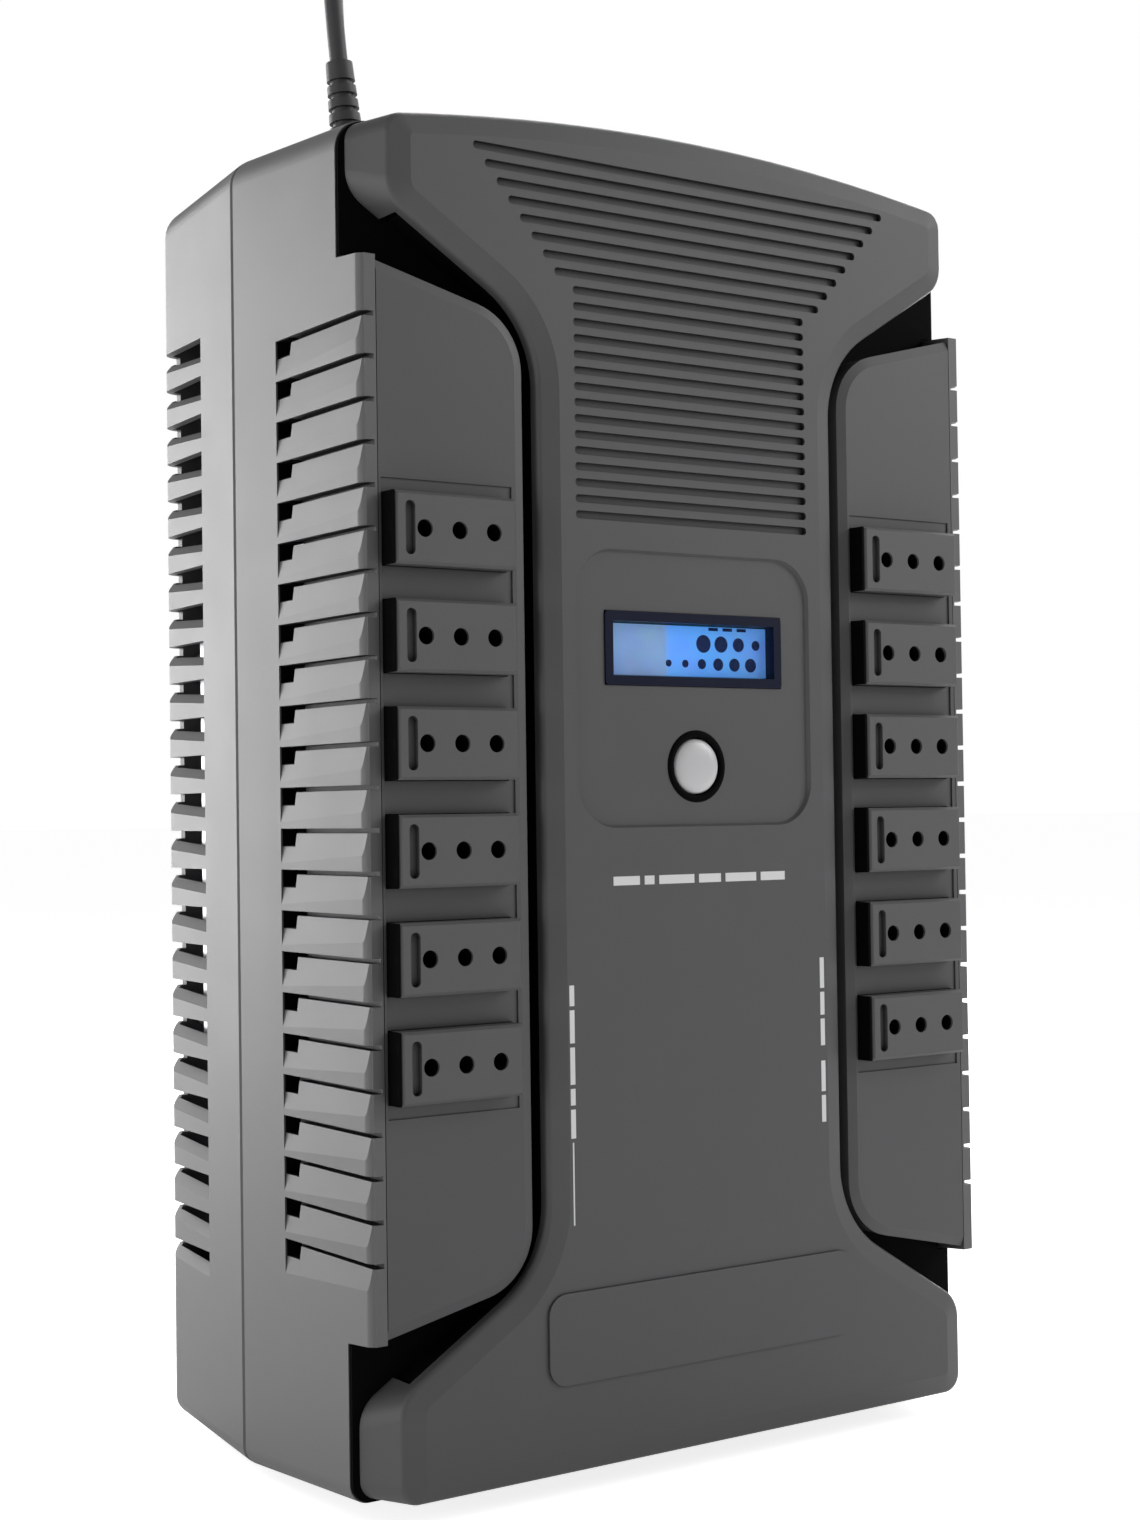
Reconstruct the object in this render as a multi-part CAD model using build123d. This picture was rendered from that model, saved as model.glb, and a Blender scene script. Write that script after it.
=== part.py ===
from build123d import *
import math
import os

# Line-interactive uninterruptible power supply, tower or wall type, with twelve outlets.
# Millimetres, +Z up, the front faces -Y. z = 0 is the surface that the feet stand on.
# Places are given as x, depth behind the outlet faces, and height above the body's middle.

# ---- driving dimensions: the housing ----
DEPTH = 122.0  # outlet faces to back wall
FRONT_Y = -DEPTH / 2
MID_Z = 170.0  # the body's middle above the floor
WALL = 2.5
FRONT_HALF_W = 95.0  # half widths at the front edge, the seam and the back
SEAM_HALF_W = 95.5
BACK_HALF_W = 92.5
FRONT_BELOW = 164.0  # bottom and side-top edges from the middle, at the same three places
SEAM_BELOW = 168.0
BACK_BELOW = 165.0
FRONT_ABOVE = 159.0
SEAM_ABOVE = 163.8
BACK_ABOVE = 161.0
CROWN_R = 580.0  # the top is bowed across its width
EDGE_R = 5.0
TOP_EDGE_R = 8.0
BACK_EDGE_R = 5.5
FRONT_EDGE_R = 2.5
SEAM_GROOVE = 0.8

# depths of the main layers, from the outlet faces
COVER_FACE = 3.0
COVER_RIM = 4.5
PANEL_FACE = 5.0
COVER_BACK = 15.3
LINER_FACE = 15.5
NOTCH_BACK = 16.5  # the mid shell's rim above and below the outlet panels
SEAM = 71.0
BACK_INSIDE = DEPTH - WALL

# ---- side vents ----
VENT_PITCH = 10.0
VENTS = 23
VENT_TOP = 3.0  # the slit's upper edge above each louvre's middle
VENT_SLIT = 1.2
VENT_SLIT_DEEP = 3.4
VENT_SLOPE_DEEP = 0.7  # how far each rib leans in below the slit above it
VENT_SLOPE_H = 5.0
VENT_END = 47.5  # depth at which the louvres stop
VENT_HOLE_START = 41.0
VENT_HOLE_H = 4.4
SIDE_WALL = 4.0  # the louvred wall is thicker
REAR_VENTS = 25
REAR_VENT_TOP = 2.4
REAR_VENT_SLIT = 2.1
REAR_VENT_SLOPE_DEEP = 3.0
REAR_VENT_SLOPE_H = 2.8
REAR_VENT_START = 93.0
REAR_VENT_DEEP = 4.6

# ---- outlet columns ----
OUTLET_X = 71.8
OUTLET_PITCH = 25.0
OUTLETS = 6
PIN_PITCH = 9.5
HOLE_R = 2.1
TILE_LEFT = 17.3  # tile edges either side of the middle hole
TILE_RIGHT = 16.0
TILE_HEIGHT = 17.0
TILE_BACK = 9.0
TILE_GROOVE_X = -13.4
TILE_GROOVE_W = 2.6
TILE_GROOVE_H = 12.6
TILE_GROOVE_DEEP = 1.6
CARRIER_LIP = 0.7
CARRIER_BACK = 26.0
COLUMN_HALF_H = 74.0

# ---- outlet panels ----
PANEL_INNER_X = 50.3
PANEL_OUTER_X = 90.8
PANEL_TOP_Z = 115.0  # height of the sloped edges where they would meet the inner edge
PANEL_TOP_ANGLE = 14.2
PANEL_LOW_Z = 116.0
PANEL_LOW_ANGLE = 12.5
PANEL_CORNER_R = 16.0
PANEL_SKIRT = 1.6
PANEL_BEVEL_W = 2.6
PANEL_BEVEL_DEEP = 0.9
PANEL_DIP = 0.4  # the skin is a little lower round the outlets

# ---- front cover ----
COVER_HALF_W = 87.7  # at the rim
COVER_BACK_HALF_W = 93.0  # the wings' side walls flare towards the back
COVER_WAIST_X = 46.6
COVER_TOP_MID = 166.8
COVER_BELOW = 163.8
COVER_NECK_Z = 114.3  # where the sloped edges would meet the waist
COVER_NECK_LOW = 112.9
COVER_NECK_ANGLE = 32.0
COVER_NECK_R = 27.0
COVER_TIP_R = 9.0
COVER_BAND_W = 5.5  # the gentle bevel between the flat face and the rim
COVER_RIM_R = 1.5
COVER_WALL_BACK = 7.5  # depth of the wall round the hollow cover, except at the wings' sides
COVER_OPEN_HALF_W = 84.0
RECESS_HALF_W = 37.0
RECESS_LOW = -8.0
RECESS_HIGH = 61.0
RECESS_DEEP = 1.0
RECESS_SOFT = 0.6
GRILLE_LINES = 23
GRILLE_PITCH = 3.94
GRILLE_TOP = 155.6
GRILLE_LINE_H = 2.0
GRILLE_LINE_DEEP = 1.3
GRILLE_HALF_W = 36.7
GRILLE_FUNNEL_Z = 126.5
GRILLE_FUNNEL_HALF_W = 40.8
GRILLE_FUNNEL_GROWTH = 0.83  # extra half width per mm above the funnel's start
PLAQUE_Z = -131.0
PLAQUE_W = 96.0
PLAQUE_H = 22.0
PLAQUE_PROUD = 0.6

# ---- controls ----
DISPLAY_Z = 36.6
DISPLAY_W = 56.0
DISPLAY_H = 18.4
BEZEL_RIM = 2.4
BUTTON_Z = 7.2
BUTTON_R = 7.0
BUTTON_GAP = 0.8

# ---- top connections, in a pocket of the rear shell ----
POCKET_FLOOR = 162.0
POCKET_MIN_X = -70.0
POCKET_MAX_X = 74.0
POCKET_START = 79.0
POCKET_END = 103.0
CORD_X = -48.5
CORD_DEPTH = 91.0
CORD_LEAN = (-0.078, 0.053, 1.0)  # the sleeve leans a little to the left and the back
RELIEF_LENGTH = 41.0
RELIEF_BASE_R = 5.2
RELIEF_TIP_R = 3.7
RELIEF_RIBS = 8
SOCKET_DEPTH = 91.0
BREAKER_X = -12.0
USB_X = 20.0
LINE_PORT_X = (40.0, 58.0)

# ---- power cord ----
CORD_DIAMETER = 5.0
CORD_LENGTH = 1800.0
COIL_MEAN_R = 26.75
COIL_HALF_WIDTH = 11.25  # the turns lie between radii of 18 and 35.5 mm
COIL_HEIGHT = 10.0  # in two layers
COIL_OUTER_TURN_R = 35.5
COIL_X = 44.0
COIL_DEPTH = 181.5
PLUG_X = 92.0  # where the cord's tail enters the plug

# ---- fastenings and feet ----
CASE_SCREW_X = 86.0
CASE_SCREW_Z = 140.0
SCREW_R = 1.5
SCREW_HEAD_R = 3.2
FOOT_R = 8.0
FOOT_X = 68.0
FOOT_DEPTHS = (36.0, 104.0)
KEYHOLE_X = 60.0
KEYHOLE_Z = 96.0
TRANSFORMER_SCREWS = [(x, z) for x in (-81.0, 13.0) for z in (-57.0, 37.0)]
BOARD_SCREWS = [(x, z) for x in (-71.0, 71.0) for z in (56.0, 140.0)]

# ---- inside ----
BOARD_FRONT = 101.0
BOARD_BACK = 102.6
BRACKET_FRONT = 106.3
BRACKET_BACK = 108.3
CORE_LEFT = -82.0
CORE_RIGHT = 14.0
CORE_LOW = -50.0
CORE_HIGH = 30.0
CORE_FRONT = 66.0
CORE_BACK = 106.2


def place(x, depth, height):
    """A point in the part's frame."""
    return (x, FRONT_Y + depth, MID_Z + height)


def facing(depth):
    """The plane across the object at a depth: local x is +X, local y is up, normal to the front."""
    return Plane(origin=place(0, depth, 0), x_dir=(1, 0, 0), z_dir=(0, -1, 0))


def block(x0, x1, depth0, depth1, height0, height1):
    """A box between two corners."""
    size = Box(x1 - x0, depth1 - depth0, height1 - height0)
    return Pos(*place((x0 + x1) / 2, (depth0 + depth1) / 2, (height0 + height1) / 2)) * size


def rod(x, height, radius, depth0, depth1):
    """A round bar that runs front to back."""
    bar = Rot(90, 0, 0) * Cylinder(radius, depth1 - depth0)
    return Pos(*place(x, (depth0 + depth1) / 2, height)) * bar


def post(x, depth, radius, height0, height1):
    """A round bar that stands upright."""
    return Pos(*place(x, depth, (height0 + height1) / 2)) * Cylinder(radius, height1 - height0)


def sheet(outline, depth0, depth1):
    """A flat outline, drawn in (x, height), given thickness between two depths."""
    return extrude(facing(depth1) * outline, amount=depth1 - depth0)


def row(count, pitch):
    """Evenly spaced offsets about zero."""
    return [(i - (count - 1) / 2) * pitch for i in range(count)]


def crown(half_width):
    """How far the bowed top rises from its side edges to its middle."""
    return CROWN_R - math.sqrt(CROWN_R**2 - half_width**2)


# ---------------------------------------------------------------- housing


def section(depth, half_w, below, above, inset=0.0):
    """The housing's outline across the object at one depth, inset evenly for the inside."""
    w = half_w - inset
    low = -below + inset
    side_top = above - inset
    outline = Polyline((-w, side_top), (-w, low), (w, low), (w, side_top))
    bow = ThreePointArc((w, side_top), (0, side_top + crown(w)), (-w, side_top))
    face = make_face(outline + bow)
    low_corners = face.vertices().filter_by(lambda v: v.Y < 0)
    face = fillet(low_corners, max(EDGE_R - inset, 1.0))
    top_corners = face.vertices().filter_by(lambda v: abs(v.X) > w - 0.1 and v.Y > 100)
    return facing(depth) * fillet(top_corners, max(TOP_EDGE_R - inset, 1.0))


def mid_section(depth, inset=0.0):
    """The mid shell's section: it grows evenly from the front edge to the seam."""
    share = (depth - PANEL_FACE) / (SEAM - PANEL_FACE)
    half_w = FRONT_HALF_W + share * (SEAM_HALF_W - FRONT_HALF_W)
    below = FRONT_BELOW + share * (SEAM_BELOW - FRONT_BELOW)
    above = FRONT_ABOVE + share * (SEAM_ABOVE - FRONT_ABOVE)
    return section(depth, half_w, below, above, inset)


def rear_section(depth, inset=0.0):
    """The rear shell's section: it narrows evenly from the seam to the back."""
    share = (depth - SEAM) / (DEPTH - SEAM)
    half_w = SEAM_HALF_W + share * (BACK_HALF_W - SEAM_HALF_W)
    below = SEAM_BELOW + share * (BACK_BELOW - SEAM_BELOW)
    above = SEAM_ABOVE + share * (BACK_ABOVE - SEAM_ABOVE)
    return section(depth, half_w, below, above, inset)


def mid_outer():
    """The mid shell's outside, rounded at the front and bevelled at the seam."""
    bevel_start = SEAM - SEAM_GROOVE
    body = loft([mid_section(PANEL_FACE), mid_section(bevel_start)], ruled=True)
    body = fillet(body.edges().group_by(Axis.Y)[0], FRONT_EDGE_R)
    return body + loft([mid_section(bevel_start), mid_section(SEAM, SEAM_GROOVE)], ruled=True)


def rear_outer():
    """The rear shell's outside, bevelled at the seam and rounded at the back."""
    bevel_end = SEAM + SEAM_GROOVE
    body = loft([rear_section(bevel_end), rear_section(DEPTH)], ruled=True)
    body = fillet(body.edges().group_by(Axis.Y)[-1], BACK_EDGE_R)
    return body + loft([rear_section(SEAM, SEAM_GROOVE), rear_section(bevel_end)], ruled=True)


def panel_edge_height(x, top):
    """Height of the outlet panels' sloped top or bottom edge at a distance x from the middle."""
    if top:
        return PANEL_TOP_Z + (x - PANEL_INNER_X) * math.tan(math.radians(PANEL_TOP_ANGLE))
    return -PANEL_LOW_Z - (x - PANEL_INNER_X) * math.tan(math.radians(PANEL_LOW_ANGLE))


def notch_edges():
    """Heights of the lower and the upper notch's edge at the mid shell's sides."""
    return panel_edge_height(FRONT_HALF_W, False), panel_edge_height(FRONT_HALF_W, True)


def front_notches():
    """What is cut off the mid shell's front above and below the outlet panels."""
    cuts = Part()
    far = 200.0
    for edge in notch_edges():
        sign = math.copysign(1, edge)
        profile = Polyline(
            (FRONT_Y + PANEL_FACE - 2, MID_Z + edge),
            (FRONT_Y + PANEL_FACE, MID_Z + edge),
            (FRONT_Y + NOTCH_BACK, MID_Z + edge + 1.0 * sign),
            (FRONT_Y + NOTCH_BACK, MID_Z + far * sign),
            (FRONT_Y + PANEL_FACE - 2, MID_Z + far * sign),
            close=True,
        )
        cuts += extrude(Plane.YZ * make_face(profile), amount=far, both=True)
    return cuts


def vent_profile(surface, slope_deep, slope_h, slit_deep, low, top, side):
    """A vent's section in (x, height): a floor that leans in from the surface, below a level slit."""
    outer = surface + 4
    lean = slope_h / slope_deep
    corners = [
        (outer, low - lean * (outer - surface + slope_deep)),
        (surface - slope_deep, low),
        (surface - slit_deep, low),
        (surface - slit_deep, top),
        (outer, top),
    ]
    return make_face(Polyline(*[(side * x, z) for x, z in corners], close=True))


def louvre(height, side):
    """One louvre: a leaning rib below a narrow slit, and an open slot at the slit's rear end."""
    top = height + VENT_TOP
    low = top - VENT_SLIT
    slope = (VENT_SLOPE_DEEP, VENT_SLOPE_H)
    profile = vent_profile(FRONT_HALF_W, *slope, VENT_SLIT_DEEP, low, top, side)
    groove = sheet(profile, PANEL_FACE - 1, VENT_END)
    hole_x = sorted((side * (FRONT_HALF_W + 4), side * (FRONT_HALF_W - SIDE_WALL - 2)))
    return groove + block(*hole_x, VENT_HOLE_START, VENT_END, top - VENT_HOLE_H, top)


def mid_shell():
    shell = mid_outer() - loft([mid_section(PANEL_FACE - 1, WALL), mid_section(SEAM + 1, WALL)], ruled=True)
    for side in (-1, 1):
        xs = sorted((side * (FRONT_HALF_W - SIDE_WALL), side * (FRONT_HALF_W - 1.0)))
        shell += block(*xs, PANEL_FACE, VENT_END + 3, -130, 128)
        for z in (-CASE_SCREW_Z, CASE_SCREW_Z):
            boss = rod(side * CASE_SCREW_X, z, 7.2, 40, SEAM) & mid_outer()
            shell += boss
            shell -= rod(side * CASE_SCREW_X, z, SCREW_R + 0.05, 45, SEAM + 1)
    shell -= front_notches()
    vents = Part()
    for height in row(VENTS, VENT_PITCH):
        for side in (-1, 1):
            vents += louvre(height, side)
    return shell - vents


def keyhole(x):
    """A wall-hanging keyhole: the screw's head goes in below and the shank slides up."""
    opening = rod(x, KEYHOLE_Z, 4.5, BACK_INSIDE - 1, DEPTH + 1)
    slot_end = rod(x, KEYHOLE_Z + 9, 2.3, BACK_INSIDE - 1, DEPTH + 1)
    slot = block(x - 2.3, x + 2.3, BACK_INSIDE - 1, DEPTH + 1, KEYHOLE_Z, KEYHOLE_Z + 9)
    return opening + slot + slot_end


def rear_vents():
    """The slots round both rear corners, each with a sloping floor below a level top."""
    cuts = Part()
    slope = (REAR_VENT_SLOPE_DEEP, REAR_VENT_SLOPE_H)
    for height in row(REAR_VENTS, VENT_PITCH):
        top = height + REAR_VENT_TOP
        low = top - REAR_VENT_SLIT
        for side in (-1, 1):
            profile = vent_profile(BACK_HALF_W, *slope, REAR_VENT_DEEP, low, top, side)
            cuts += sheet(profile, REAR_VENT_START, DEPTH + 1)
    return cuts


def pocket_walls():
    """The box under the rear shell's top that carries the cord and the sockets."""
    return block(
        POCKET_MIN_X - WALL,
        POCKET_MAX_X + WALL,
        POCKET_START - WALL,
        POCKET_END + WALL,
        POCKET_FLOOR - WALL,
        POCKET_FLOOR + 6,
    )


def pocket_holes():
    """The pocket itself and the holes through its floor."""
    low = POCKET_FLOOR - WALL - 1
    cuts = block(POCKET_MIN_X, POCKET_MAX_X, POCKET_START, POCKET_END, POCKET_FLOOR, POCKET_FLOOR + 20)
    cuts += post(CORD_X, CORD_DEPTH, RELIEF_BASE_R, low, POCKET_FLOOR)
    cuts += post(BREAKER_X, SOCKET_DEPTH, 5.0, low, POCKET_FLOOR)
    cuts += block(USB_X - 6.1, USB_X + 6.1, 85.5, 96.5, low, POCKET_FLOOR)
    for x in LINE_PORT_X:
        cuts += block(x - 7.1, x + 7.1, 84.5, 97.5, low, POCKET_FLOOR)
    return cuts


def rear_shell():
    outer = rear_outer()
    inside = loft([rear_section(SEAM - 1, WALL), rear_section(BACK_INSIDE, WALL)], ruled=True)
    shell = outer - inside
    shell += pocket_walls() & outer
    for x, z in TRANSFORMER_SCREWS:
        shell += rod(x, z, 4.5, BRACKET_BACK, BACK_INSIDE)
        shell -= rod(x, z, 1.55, BRACKET_BACK - 1, BACK_INSIDE)
    for x, z in BOARD_SCREWS:
        shell += rod(x, z, 4.0, BOARD_BACK, BACK_INSIDE)
        shell -= rod(x, z, 1.3, BOARD_BACK - 1, BACK_INSIDE)
    for x in (-CASE_SCREW_X, CASE_SCREW_X):
        for z in (-CASE_SCREW_Z, CASE_SCREW_Z):
            shell += rod(x, z, 6.2, SEAM, BACK_INSIDE) & outer
            shell -= rod(x, z, 3.6, SEAM + 12, DEPTH + 1)
            shell -= rod(x, z, SCREW_R + 0.2, SEAM - 1, SEAM + 13)
    shell -= rear_vents()
    shell -= pocket_holes()
    for x in (-KEYHOLE_X, KEYHOLE_X):
        shell -= keyhole(x)
    return shell


def frame_windows(plate_back):
    """The openings in the inner frame's plate for the outlet columns and the display board."""
    cuts = block(-30, 30, LINER_FACE - 1, plate_back, -60, 90)
    for side in (-1, 1):
        xs = sorted((side * (FRONT_HALF_W - SIDE_WALL - 0.2), side * (FRONT_HALF_W + 1)))
        cuts += block(*xs, LINER_FACE - 1, plate_back, -131, 130)
        left = side * OUTLET_X - TILE_LEFT - 1.2
        right = side * OUTLET_X + TILE_RIGHT + 0.6
        half_h = COLUMN_HALF_H + 0.4
        cuts += block(left, right, LINER_FACE - 1, plate_back, -half_h, half_h)
    return cuts


def frame_pedestal():
    """The upright wall under the cover's rim: its outside is the channel's side."""
    wall = sheet(cover_outline(0.6), COVER_WALL_BACK + 0.1, LINER_FACE + 0.5)
    wall &= block(-82, 82, 0, 30, -152, 152)
    inside = sheet(cover_outline(2.8), 0, 30) & block(-80, 80, 0, 30, -150, 150)
    return wall - inside


def inner_frame():
    """The black frame that the panels and the cover are fixed to."""
    plate_back = LINER_FACE + 3.0
    inset = WALL + 0.2
    plate = loft([mid_section(LINER_FACE, inset), mid_section(plate_back, inset)], ruled=True)
    plate -= frame_windows(plate_back + 1)
    flange = loft([mid_section(LINER_FACE, 0.3), mid_section(NOTCH_BACK - 0.05, 0.3)], ruled=True)
    low, high = notch_edges()
    flange -= block(-200, 200, 0, 30, low - 1.5, high + 1.5)
    return plate + flange + frame_pedestal()


# ---------------------------------------------------------------- outlets


def panel_outline(side, inset, outer):
    """One outlet panel: an upright inner edge, sloped ends and a rounded inner corner."""
    inner = PANEL_INNER_X + inset
    lean_top = inset / math.cos(math.radians(PANEL_TOP_ANGLE))
    lean_low = inset / math.cos(math.radians(PANEL_LOW_ANGLE))
    corners = [
        (side * inner, panel_edge_height(inner, False) + lean_low),
        (side * outer, panel_edge_height(outer, False) + lean_low),
        (side * outer, panel_edge_height(outer, True) - lean_top),
        (side * inner, panel_edge_height(inner, True) - lean_top),
    ]
    face = make_face(Polyline(*corners, close=True))
    inner_corners = face.vertices().group_by(Axis.X)[0 if side > 0 else -1]
    return fillet(inner_corners, PANEL_CORNER_R - inset)


def outlet_panel(side):
    """A flat skin with a bevel and a skirt along its inner and sloped edges, and six windows."""
    skin_back = PANEL_FACE + WALL
    rim = PANEL_FACE + PANEL_BEVEL_DEEP
    flat = facing(PANEL_FACE) * panel_outline(side, PANEL_BEVEL_W, PANEL_OUTER_X)
    panel = loft([flat, facing(rim) * panel_outline(side, 0.0, PANEL_OUTER_X)], ruled=True)
    panel += sheet(panel_outline(side, 0.0, PANEL_OUTER_X), rim, COVER_BACK)
    panel -= sheet(panel_outline(side, PANEL_SKIRT, PANEL_OUTER_X + 5), skin_back, LINER_FACE)
    column = side * OUTLET_X
    left = column - TILE_LEFT - CARRIER_LIP - 0.3
    right = column + TILE_RIGHT + 0.2
    dip_half_h = COLUMN_HALF_H + 0.5
    panel -= block(left, right + 1.5, PANEL_FACE - 1, PANEL_FACE + PANEL_DIP, -dip_half_h, dip_half_h)
    for height in row(OUTLETS, OUTLET_PITCH):
        half = TILE_HEIGHT / 2 + 0.2
        panel -= block(left, right, PANEL_FACE - 1, skin_back + 1, height - half, height + half)
    return panel


def outlet_holes(column, height, radius, depth0, depth1):
    """The three round ways of one outlet, in a line."""
    holes = Part()
    for x in row(3, PIN_PITCH):
        holes += rod(column + x, height, radius, depth0, depth1)
    return holes


def outlet(side, height):
    """One outlet's grey insulating block, with a shallow keying groove left of its three holes."""
    column = side * OUTLET_X
    half = TILE_HEIGHT / 2
    tile = block(column - TILE_LEFT, column + TILE_RIGHT, 0, TILE_BACK, height - half, height + half)
    tile = chamfer(tile.edges().group_by(Axis.Y)[0], 0.7)
    groove = RectangleRounded(TILE_GROOVE_W, TILE_GROOVE_H, TILE_GROOVE_W / 2 - 0.05)
    tile -= sheet(Pos(column + TILE_GROOVE_X, height) * groove, -1, TILE_GROOVE_DEEP)
    return tile - outlet_holes(column, height, HOLE_R, -1, TILE_BACK + 1)


def outlet_carrier(side):
    """The black moulding behind one column: it holds the contacts and lips the tiles' left ends."""
    column = side * OUTLET_X
    left = column - TILE_LEFT - CARRIER_LIP - 0.1
    right = column + TILE_RIGHT
    carrier = block(left, right, TILE_BACK, CARRIER_BACK, -COLUMN_HALF_H, COLUMN_HALF_H)
    for height in row(OUTLETS, OUTLET_PITCH):
        half = TILE_HEIGHT / 2
        carrier += block(left, left + CARRIER_LIP, 0.3, TILE_BACK, height - half, height + half)
        carrier -= outlet_holes(column, height, 3.4, TILE_BACK - 1, CARRIER_BACK + 1)
    return carrier


def outlet_contacts(side):
    """Three brass strips behind one column, each with a sleeve for every outlet."""
    column = side * OUTLET_X
    strips = []
    front = CARRIER_BACK + 0.1
    half_h = COLUMN_HALF_H - 2
    for x in row(3, PIN_PITCH):
        strip = block(column + x - 3.2, column + x + 3.2, front, front + 1, -half_h, half_h)
        for height in row(OUTLETS, OUTLET_PITCH):
            strip += rod(column + x, height, 3.1, 12, CARRIER_BACK + 0.2)
            strip -= rod(column + x, height, HOLE_R + 0.1, 11, CARRIER_BACK + 2)
        strips.append(strip)
    return strips


# ---------------------------------------------------------------- front cover and controls


def cover_outline(inset=0.0, half_w=COVER_HALF_W):
    """The cover's hourglass outline: wide at the top and the bottom, with a straight waist."""
    w = half_w - inset
    waist = COVER_WAIST_X - inset
    slope = math.tan(math.radians(COVER_NECK_ANGLE))
    lean = inset / math.cos(math.radians(COVER_NECK_ANGLE))
    side_top = COVER_TOP_MID - crown(w) - inset
    neck_top = COVER_NECK_Z + lean - inset * slope
    neck_low = -COVER_NECK_LOW - lean + inset * slope
    tip_top = neck_top + (w - waist) * slope
    tip_low = neck_low - (w - waist) * slope
    low = -COVER_BELOW + inset
    right = [(w, side_top), (w, tip_top), (waist, neck_top), (waist, neck_low), (w, tip_low), (w, low)]
    left = [(-x, z) for x, z in reversed(right)]
    bow = ThreePointArc(left[-1], (0, side_top + crown(w)), right[0])
    face = make_face(Polyline(*right, *left) + bow)
    necks = face.vertices().filter_by(lambda v: abs(abs(v.X) - waist) < 0.1)
    face = fillet(necks, COVER_NECK_R + inset)
    tips = face.vertices().filter_by(lambda v: abs(v.X) > w - 0.1 and abs(v.Y) < 150)
    face = fillet(tips, COVER_TIP_R - inset)
    corners = face.vertices().filter_by(lambda v: abs(v.X) > w - 0.1 and abs(v.Y) > 152)
    return fillet(corners, max(EDGE_R - inset, 1.0))


def cover_walls(inset, front, back):
    """The cover's body behind its rim, with the wings' sides flaring towards the back."""
    flare = (COVER_BACK_HALF_W - COVER_HALF_W) / (COVER_BACK - COVER_RIM)
    widths = [COVER_HALF_W + flare * (depth - COVER_RIM) for depth in (front, back)]
    ends = [facing(d) * cover_outline(inset, w) for d, w in zip((front, back), widths)]
    return loft(ends, ruled=True)


def wing_cutaways():
    """The concave cut behind each wing's side, which opens onto the black inner frame."""
    cuts = Part()
    back = COVER_BACK + 1
    for sign, low in ((1, 136.0), (-1, 134.5)):
        front_end = (FRONT_Y + COVER_WALL_BACK, MID_Z + sign * low)
        back_end = (FRONT_Y + back, MID_Z + sign * (low + 20))
        arc = ThreePointArc(back_end, (FRONT_Y + 13.8, MID_Z + sign * (low + 7)), front_end)
        close_up = Polyline(
            front_end,
            (FRONT_Y + COVER_WALL_BACK, MID_Z + sign * 110),
            (FRONT_Y + back, MID_Z + sign * 110),
            back_end,
        )
        wedge = extrude(Plane.YZ * make_face(arc + close_up), amount=110, both=True)
        for side in (-1, 1):
            xs = sorted((side * COVER_OPEN_HALF_W, side * (COVER_BACK_HALF_W + 3)))
            cuts += wedge & block(*xs, 0, 20, -200, 200)
    return cuts


def grille_lines():
    """Fine grooves across the upper half, the topmost ones widening like a funnel."""
    lines = Part()
    half_h = GRILLE_LINE_H / 2
    for i in range(GRILLE_LINES):
        height = GRILLE_TOP - i * GRILLE_PITCH
        half_w = GRILLE_HALF_W
        if height > GRILLE_FUNNEL_Z:
            half_w = GRILLE_FUNNEL_HALF_W + (height - GRILLE_FUNNEL_Z) * GRILLE_FUNNEL_GROWTH
        line = Pos(0, height) * RectangleRounded(2 * half_w, GRILLE_LINE_H, half_h - 0.05)
        lines += sheet(line, 0, COVER_FACE + GRILLE_LINE_DEEP)
    return lines


def recess():
    """The shallow recess around the display and the button, with a sloping rim."""
    middle = Pos(0, (RECESS_LOW + RECESS_HIGH) / 2)
    width = 2 * RECESS_HALF_W
    height = RECESS_HIGH - RECESS_LOW
    rim = middle * RectangleRounded(width, height, 11)
    floor = middle * RectangleRounded(width - 2 * RECESS_SOFT, height - 2 * RECESS_SOFT, 11 - RECESS_SOFT)
    bowl = loft([facing(COVER_FACE) * rim, facing(COVER_FACE + RECESS_DEEP) * floor], ruled=True)
    return bowl + sheet(rim, 0, COVER_FACE)


def front_cover():
    face = facing(COVER_FACE) * cover_outline(COVER_BAND_W)
    band = loft([face, facing(COVER_RIM) * cover_outline()], ruled=True)
    cover = band + cover_walls(0, COVER_RIM, COVER_BACK)
    rim = cover.edges().filter_by(lambda e: abs(e.center().Y - FRONT_Y - COVER_RIM) < 0.01)
    cover = fillet(rim, COVER_RIM_R)
    cover -= cover_walls(WALL, COVER_FACE + WALL, COVER_BACK + 1)
    cover -= block(-COVER_OPEN_HALF_W, COVER_OPEN_HALF_W, COVER_WALL_BACK, 20, -155, 155)
    backing = block(-RECESS_HALF_W - 2, RECESS_HALF_W + 2, 5, 7.2, RECESS_LOW - 4, RECESS_HIGH + 3)
    cover += backing
    cover -= recess()
    cover -= grille_lines()
    cover -= wing_cutaways()
    half_w = DISPLAY_W / 2 + 0.1
    half_h = DISPLAY_H / 2 + 0.1
    cover -= block(-half_w, half_w, 0, 10, DISPLAY_Z - half_h, DISPLAY_Z + half_h)
    cover -= rod(0, BUTTON_Z, BUTTON_R + BUTTON_GAP, 0, 10)
    plaque = Pos(0, PLAQUE_Z) * RectangleRounded(PLAQUE_W, PLAQUE_H, 5)
    return cover + sheet(plaque, COVER_FACE - PLAQUE_PROUD, COVER_FACE + 0.1)


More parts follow.
